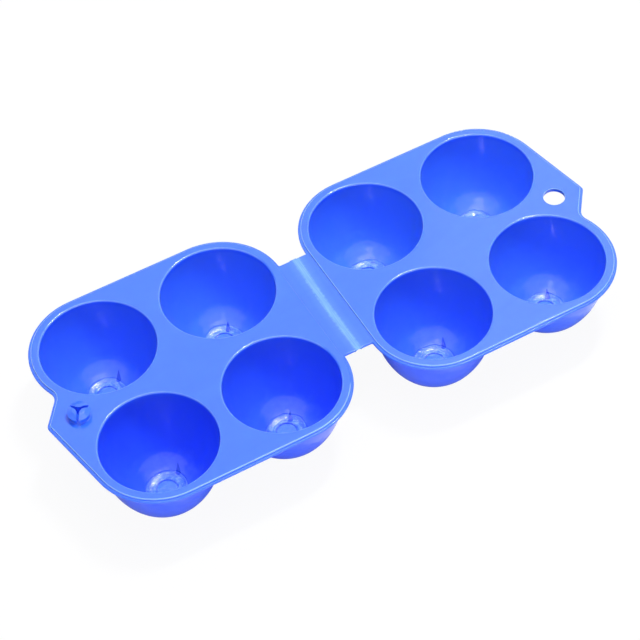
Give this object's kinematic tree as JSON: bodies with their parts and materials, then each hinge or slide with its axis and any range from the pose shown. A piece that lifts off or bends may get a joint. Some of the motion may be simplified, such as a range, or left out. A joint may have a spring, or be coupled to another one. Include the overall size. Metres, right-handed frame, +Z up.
{
  "type": "camping egg box",
  "caption": "Hinged plastic egg carrier lying open flat: trays of egg-shaped cups joined by a living hinge, with a snap stud and its hole on the finger tabs.",
  "frame": {"origin": "on the plane that the cups stand on, under the middle of the hinge", "axes": "+X from the tray with the stud to the tray with the hole, +Y along the hinge, +Z up, out of the open cups"},
  "size_m": [0.2436, 0.1102, 0.0363],
  "materials": {
    "shell": "glossy",
    "hinge_film": "glossy, whitened by bending"
  },
  "bodies": {
    "base": {"base_tray": "shell", "living_hinge": "hinge_film"},
    "lid": {"lid_tray": "shell"}
  },
  "joints": [
    {"name": "lid_fold", "type": "hinge", "parent": "base", "child": "lid", "pos_m": [0, 0, 0.03252], "axis": [0, -1, 0], "range_deg": [0, 180], "deforming": ["living_hinge"]}
  ]
}
